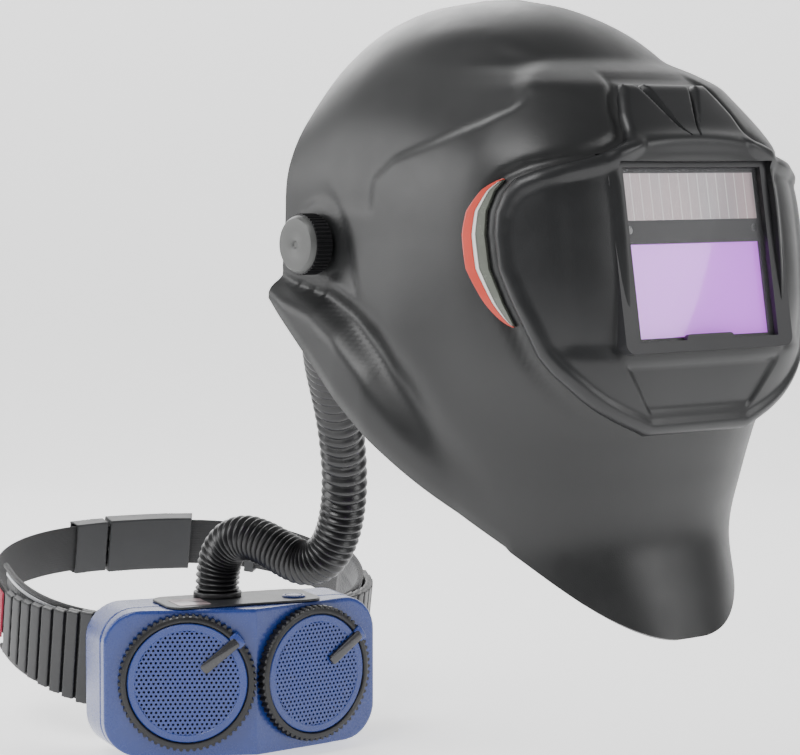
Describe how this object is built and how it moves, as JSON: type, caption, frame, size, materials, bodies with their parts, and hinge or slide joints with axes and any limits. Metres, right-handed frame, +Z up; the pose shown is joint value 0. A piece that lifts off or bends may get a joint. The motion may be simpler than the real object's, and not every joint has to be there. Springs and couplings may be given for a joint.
{
  "type": "powered air respirator",
  "caption": "Tilting face-covering helmet with darkening window and head harness, joined by a corrugated breathing hose to a belt-worn blower with twin round filters.",
  "frame": {"origin": "middle of the helmet's tilt axis, between the two side knobs, at the centre of the wearer's head", "axes": "+Z up, -Y the way the wearer faces, -X towards the wearer's right"},
  "size_m": [0.4493, 0.8672, 0.513],
  "materials": {
    "shell_plastic": "matte fine-grained moulded nylon",
    "hood_plastic": "matte moulded nylon",
    "trim_red": "glossy",
    "trim_white": "glossy",
    "trim_clear": "tinted translucent plastic",
    "frame_plastic": "satin",
    "cover_glass": "clear polycarbonate",
    "filter_glass": "violet interference coating",
    "solar": "glass-covered cell",
    "board": "solder mask",
    "battery_metal": "coin cell",
    "spring_steel": "brushed",
    "inner_plastic": "satin",
    "seal_fabric": "flame-resistant cotton",
    "band_plastic": "satin polyamide",
    "pad_fabric": "terry cloth on foam",
    "knob_plastic": "satin",
    "duct_plastic": "satin",
    "hose_rubber": "glossy thermoplastic rubber",
    "cuff_rubber": "satin",
    "blower_blue": "glossy moulded",
    "blower_dark": "satin",
    "filter_black": "satin",
    "filter_media": "pleated glass-fibre paper",
    "screw_steel": "zinc plated",
    "motor_steel": "steel can",
    "webbing": "woven polyester",
    "wing_rubber": "ribbed",
    "buckle_plastic": "acetal",
    "tag_red": "woven label"
  },
  "bodies": {
    "visor": {"helmet_shell": "shell_plastic", "front_hood": "hood_plastic", "side_trim_red": "trim_red", "side_trim_white": "trim_white", "side_insert": "trim_clear", "adf_frame": "frame_plastic", "cover_lens": "cover_glass", "adf_case": "frame_plastic", "arc_sensors": "inner_plastic", "solar_cell": "solar", "lcd_lens": "filter_glass", "adf_circuit_board": "board", "adf_batteries": "battery_metal", "inner_cover_lens": "cover_glass", "adf_retainer": "spring_steel", "face_seal": "seal_fabric"},
    "shade_dial": {"shade_dial": "knob_plastic"},
    "tilt_knob_right": {"tilt_knob_right": "knob_plastic"},
    "tilt_knob_left": {"tilt_knob_left": "knob_plastic"},
    "ratchet": {"ratchet_pinion": "band_plastic", "ratchet_knob": "knob_plastic"},
    "fan_wheel": {"impeller": "inner_plastic", "motor_shaft": "spring_steel"},
    "filter_right": {"filter_canister_right": "filter_black", "filter_grille_right": "blower_blue", "filter_media_right": "filter_media"},
    "filter_left": {"filter_canister_left": "filter_black", "filter_grille_left": "blower_blue", "filter_media_left": "filter_media"},
    "power_button": {"power_button": "blower_blue"},
    "battery_latch": {"battery_latch": "blower_dark"},
    "root": {"headband": "band_plastic", "sweatband": "pad_fabric", "rear_pad": "pad_fabric", "crown_straps": "band_plastic", "pivot_plates": "band_plastic", "pivot_studs": "screw_steel", "friction_washers": "cuff_rubber", "ratchet_housing": "band_plastic", "air_duct": "duct_plastic", "hose": "hose_rubber", "hose_cuff_upper": "cuff_rubber", "hose_cuff_lower": "cuff_rubber", "blower_front_housing": "blower_blue", "blower_rear_housing": "blower_blue", "housing_screws": "screw_steel", "outlet_spigot": "blower_dark", "control_panel": "blower_dark", "fan_volute": "inner_plastic", "fan_motor": "motor_steel", "battery_pack": "blower_dark", "control_board": "board", "belt_plate": "blower_dark", "belt_pad": "pad_fabric", "belt_wings": "wing_rubber", "belt_webbing": "webbing", "buckle_socket": "buckle_plastic", "buckle_tongue": "buckle_plastic", "strap_slider": "buckle_plastic", "belt_tag": "tag_red"}
  },
  "joints": [
    {"name": "helmet_tilt", "type": "hinge", "parent": "root", "child": "visor", "pos_m": [0, 0, 0], "axis": [-1, 0, 0], "range_deg": [0, 70]},
    {"name": "shade_dial_turn", "type": "hinge", "parent": "visor", "child": "shade_dial", "pos_m": [0.034, -0.16223, 0.02444], "axis": [0, 0.9863, -0.165], "range_deg": [0, 270]},
    {"name": "tilt_knob_right_turn", "type": "hinge", "parent": "root", "child": "tilt_knob_right", "pos_m": [-0.126, 0, 0], "axis": [-1, 0, 0], "range_deg": [0, 360]},
    {"name": "tilt_knob_left_turn", "type": "hinge", "parent": "root", "child": "tilt_knob_left", "pos_m": [0.126, 0, 0], "axis": [1, 0, 0], "range_deg": [0, 360]},
    {"name": "ratchet_turn", "type": "hinge", "parent": "root", "child": "ratchet", "pos_m": [0, 0.1, -0.0345], "axis": [0, 1, 0], "range_deg": [-180, 180]},
    {"name": "fan_spin", "type": "hinge", "parent": "root", "child": "fan_wheel", "pos_m": [0.13153, 0.40077, -0.332], "axis": [0.2907, 0.9568, 0], "continuous": true},
    {"name": "filter_right_unscrew", "type": "hinge", "parent": "root", "child": "filter_right", "pos_m": [0.05643, 0.37133, -0.322], "axis": [-0.5577, -0.83, 0], "range_deg": [0, 90]},
    {"name": "filter_left_unscrew", "type": "hinge", "parent": "root", "child": "filter_left", "pos_m": [0.15077, 0.34267, -0.322], "axis": [0.0017, -1, 0], "range_deg": [0, 90]},
    {"name": "power_button_press", "type": "slide", "parent": "root", "child": "power_button", "axis": [0, 0, -1], "range_m": [0, 0.0012], "stiffness_N_per_m": 900, "springref_m": -0.001},
    {"name": "battery_latch_slide", "type": "slide", "parent": "root", "child": "battery_latch", "axis": [0, 0, -1], "range_m": [0, 0.006], "stiffness_N_per_m": 300, "springref_m": -0.003}
  ]
}
